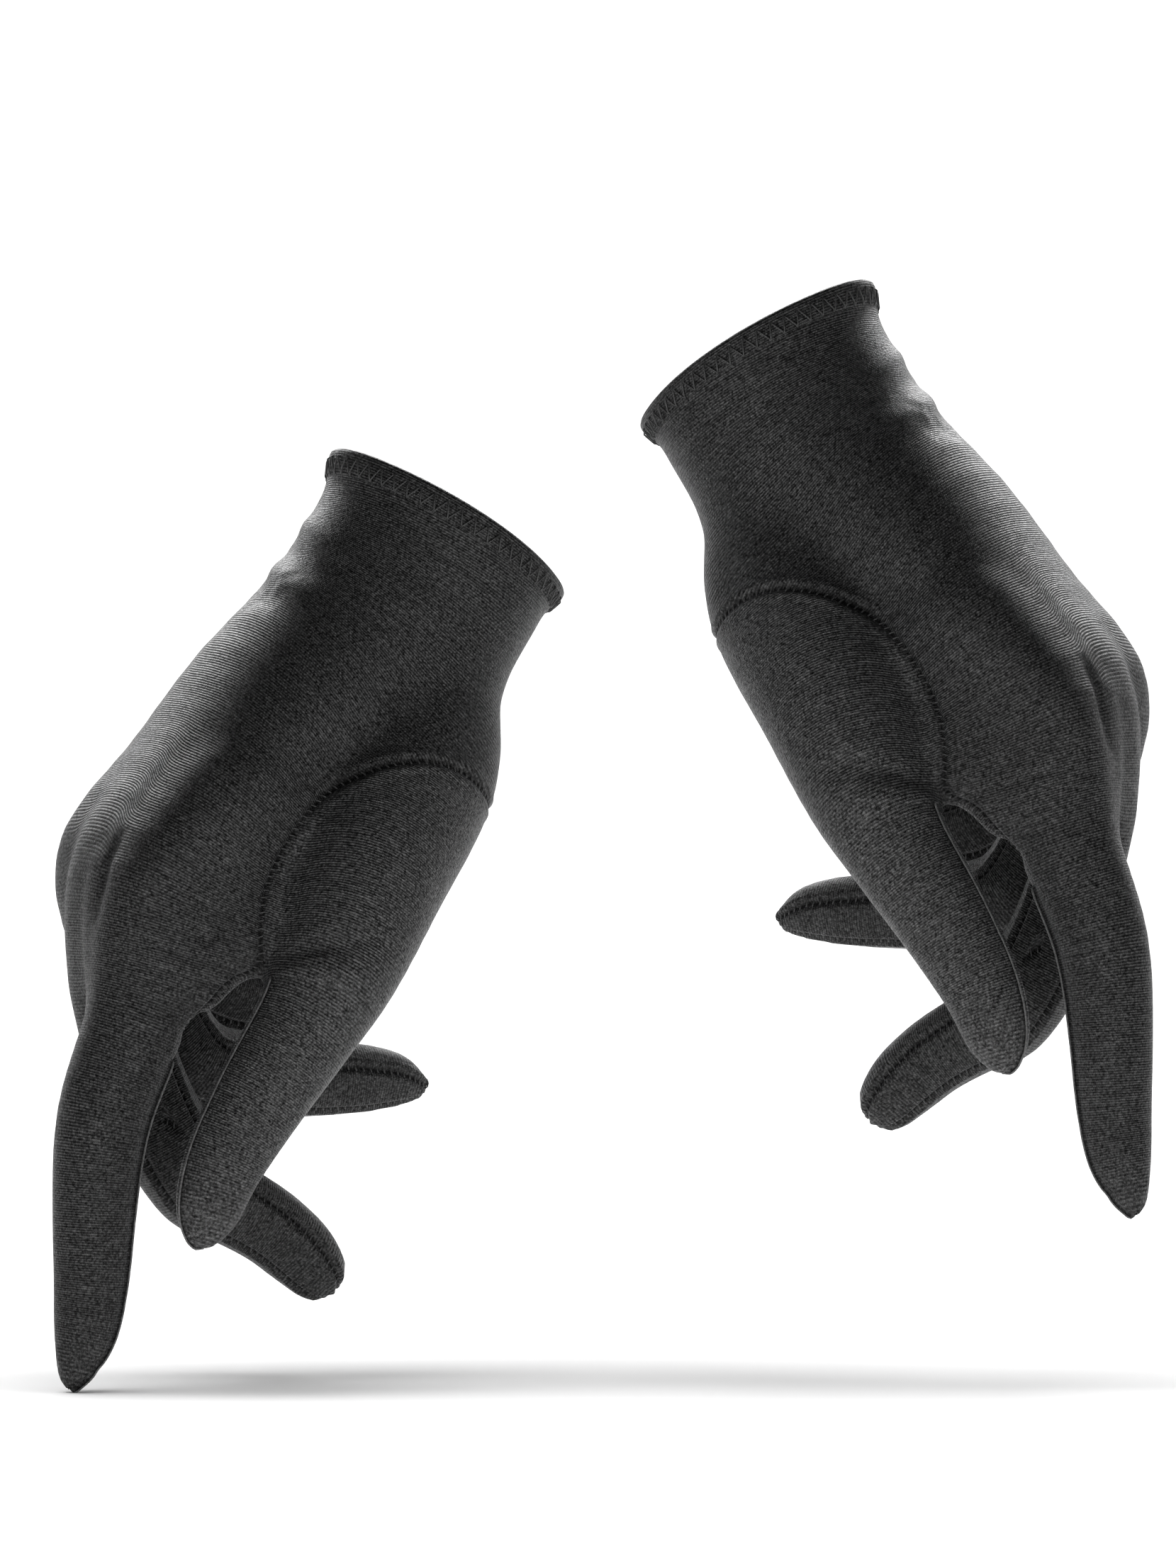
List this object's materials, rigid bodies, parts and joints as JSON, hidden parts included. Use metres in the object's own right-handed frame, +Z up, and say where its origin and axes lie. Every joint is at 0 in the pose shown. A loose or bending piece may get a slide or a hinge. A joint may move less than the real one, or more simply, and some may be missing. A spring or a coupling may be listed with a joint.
{
  "type": "pair of gloves",
  "caption": "Pair of short wrist-length stretch-satin dress gloves in black, each with a set-in thumb, side strips along the fingers and a zigzag-stitched elastic hem.",
  "frame": {"origin": "centre of the left glove's wrist opening, where a hand goes in", "axes": "+Z up; +Y from the thumb side through to the little-finger side; +X from the left glove towards the right glove"},
  "size_m": [0.2096, 0.0958, 0.2058],
  "materials": {
    "satin": "satin knit",
    "thread": "matte thread",
    "elastic": "matte"
  },
  "bodies": {
    "left_hand": {"left_cuff_elastic": "elastic", "left_cuff_hem": "satin", "left_cuff_zigzag": "thread", "left_side_seam": "thread", "left_thumb_gore": "satin", "left_thumb_gore_seam": "thread", "left_trank_back": "satin", "left_trank_palm": "satin"},
    "left_index_stall": {"left_index_back": "satin", "left_index_fourchette_ulnar": "satin", "left_index_palm": "satin", "left_index_seams": "thread"},
    "left_middle_stall": {"left_middle_back": "satin", "left_middle_fourchette_radial": "satin", "left_middle_fourchette_ulnar": "satin", "left_middle_palm": "satin", "left_middle_seams": "thread"},
    "left_ring_stall": {"left_ring_back": "satin", "left_ring_fourchette_radial": "satin", "left_ring_fourchette_ulnar": "satin", "left_ring_palm": "satin", "left_ring_seams": "thread"},
    "left_little_stall": {"left_little_back": "satin", "left_little_fourchette_radial": "satin", "left_little_palm": "satin", "left_little_seams": "thread"},
    "left_thumb_stall": {"left_thumb_seams": "thread", "left_thumb_stall": "satin"},
    "right_hand": {"right_cuff_elastic": "elastic", "right_cuff_hem": "satin", "right_cuff_zigzag": "thread", "right_side_seam": "thread", "right_thumb_gore": "satin", "right_thumb_gore_seam": "thread", "right_trank_back": "satin", "right_trank_palm": "satin"},
    "right_index_stall": {"right_index_back": "satin", "right_index_fourchette_ulnar": "satin", "right_index_palm": "satin", "right_index_seams": "thread"},
    "right_middle_stall": {"right_middle_back": "satin", "right_middle_fourchette_radial": "satin", "right_middle_fourchette_ulnar": "satin", "right_middle_palm": "satin", "right_middle_seams": "thread"},
    "right_ring_stall": {"right_ring_back": "satin", "right_ring_fourchette_radial": "satin", "right_ring_fourchette_ulnar": "satin", "right_ring_palm": "satin", "right_ring_seams": "thread"},
    "right_little_stall": {"right_little_back": "satin", "right_little_fourchette_radial": "satin", "right_little_palm": "satin", "right_little_seams": "thread"},
    "right_thumb_stall": {"right_thumb_seams": "thread", "right_thumb_stall": "satin"}
  },
  "joints": [
    {"name": "pair_spread", "type": "slide", "parent": "left_hand", "child": "right_hand", "axis": [1, 0, 0], "range_m": [0, 0.15]},
    {"name": "left_index_flex", "type": "hinge", "parent": "left_hand", "child": "left_index_stall", "pos_m": [-0.05799, -0.04778, -0.0991], "axis": [0.36, -0.933, 0], "range_deg": [-25, 30]},
    {"name": "left_middle_flex", "type": "hinge", "parent": "left_hand", "child": "left_middle_stall", "pos_m": [-0.05951, -0.02939, -0.0945], "axis": [0.36, -0.933, 0], "range_deg": [-30, 20]},
    {"name": "left_ring_flex", "type": "hinge", "parent": "left_hand", "child": "left_ring_stall", "pos_m": [-0.05613, -0.00954, -0.0906], "axis": [0.36, -0.933, 0], "range_deg": [-35, 20]},
    {"name": "left_little_flex", "type": "hinge", "parent": "left_hand", "child": "left_little_stall", "pos_m": [-0.05107, 0.00956, -0.083], "axis": [0.36, -0.933, 0], "range_deg": [-30, 20]},
    {"name": "left_thumb_flex", "type": "hinge", "parent": "left_hand", "child": "left_thumb_stall", "pos_m": [-0.0236, -0.05413, -0.0915], "axis": [0.36, -0.933, 0], "range_deg": [-15, 20]},
    {"name": "right_index_flex", "type": "hinge", "parent": "right_hand", "child": "right_index_stall", "pos_m": [0.11799, -0.04778, -0.0668], "axis": [0.36, 0.933, 0], "range_deg": [-25, 30]},
    {"name": "right_middle_flex", "type": "hinge", "parent": "right_hand", "child": "right_middle_stall", "pos_m": [0.11951, -0.02939, -0.0622], "axis": [0.36, 0.933, 0], "range_deg": [-30, 20]},
    {"name": "right_ring_flex", "type": "hinge", "parent": "right_hand", "child": "right_ring_stall", "pos_m": [0.11613, -0.00954, -0.0583], "axis": [0.36, 0.933, 0], "range_deg": [-35, 20]},
    {"name": "right_little_flex", "type": "hinge", "parent": "right_hand", "child": "right_little_stall", "pos_m": [0.11107, 0.00956, -0.0507], "axis": [0.36, 0.933, 0], "range_deg": [-30, 20]},
    {"name": "right_thumb_flex", "type": "hinge", "parent": "right_hand", "child": "right_thumb_stall", "pos_m": [0.0836, -0.05413, -0.0592], "axis": [0.36, 0.933, 0], "range_deg": [-15, 20]}
  ]
}
